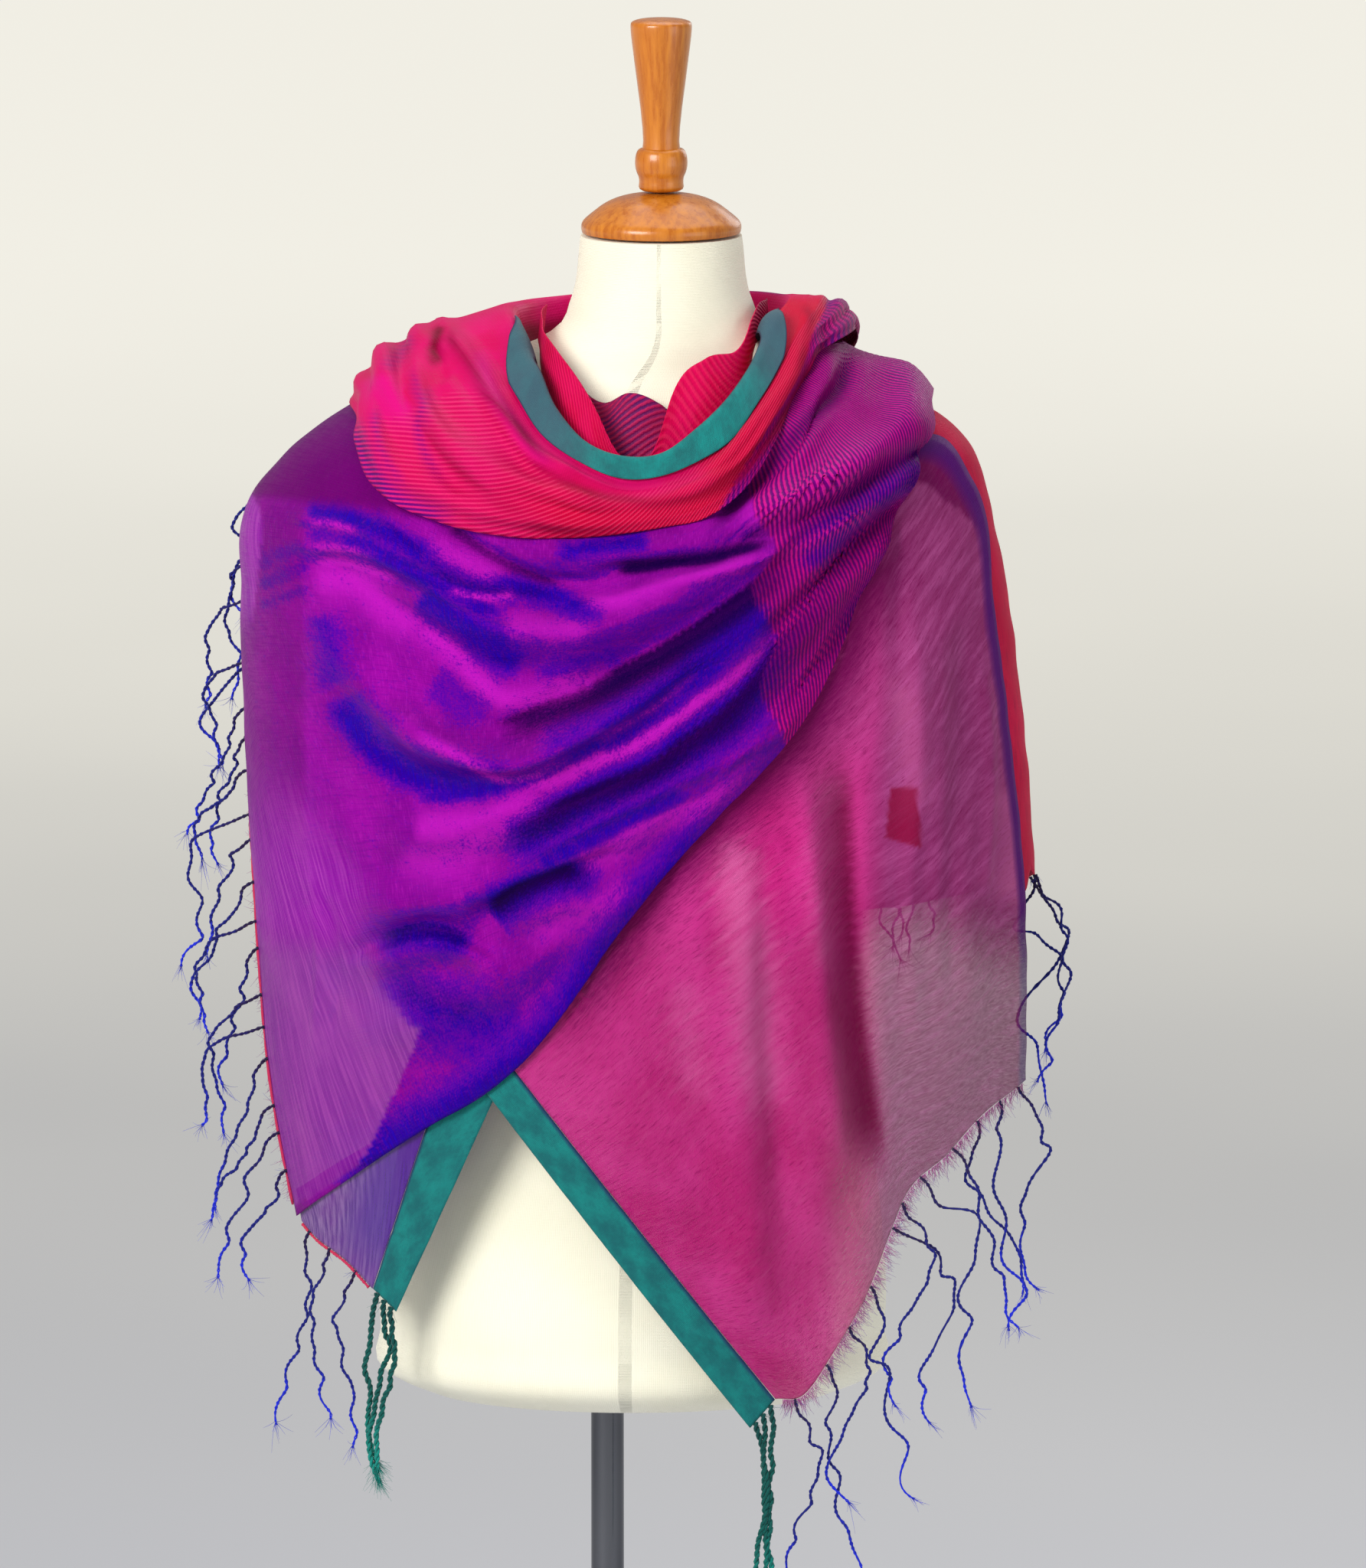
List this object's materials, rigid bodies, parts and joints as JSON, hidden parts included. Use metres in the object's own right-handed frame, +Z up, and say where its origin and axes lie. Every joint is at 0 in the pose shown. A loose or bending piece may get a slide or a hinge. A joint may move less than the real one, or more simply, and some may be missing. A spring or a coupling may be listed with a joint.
{
  "type": "handwoven scarf on a dress form",
  "caption": "Long silk scarf with woven borders and fringed ends, wound as a cowl and crossed over a limbless dress form on a stand.",
  "frame": {"origin": "on the floor, under the axis of the stand's pole", "axes": "+Z up, +X towards the wearer's left, the front faces -Y"},
  "size_m": [0.5499, 0.314, 1.5621],
  "materials": {
    "silk_purple": "shot silk, magenta across deep blue",
    "silk_lilac": "thin shot silk",
    "silk_pink": "ribbed silk",
    "silk_plum": "ribbed silk",
    "silk_rose": "sheer streaked silk",
    "silk_red": "silk",
    "border_teal": "dense woven silk",
    "thread_navy": "twisted thread",
    "form_cream": "stretched jersey",
    "wood_honey": "varnished",
    "chrome": "polished",
    "base_black": "satin"
  },
  "bodies": {
    "root": {"wrap_front": "silk_purple", "wrap_under": "silk_lilac", "border_left": "border_teal", "panel_right": "silk_rose", "border_right": "border_teal", "back_panel": "silk_red", "back_flap": "silk_red", "cowl_outer": "silk_pink", "cowl_border": "border_teal", "cowl_inner": "silk_pink", "neck_inner": "silk_plum", "fringe_left": "thread_navy", "fringe_low": "thread_navy", "tassel_left": "border_teal", "fringe_right": "thread_navy", "tassel_right": "border_teal", "fringe_back": "thread_navy", "fringe_flap": "thread_navy", "form_torso": "form_cream", "form_cap": "wood_honey", "form_finial": "wood_honey", "form_pole": "chrome", "form_base": "base_black"}
  },
  "joints": []
}
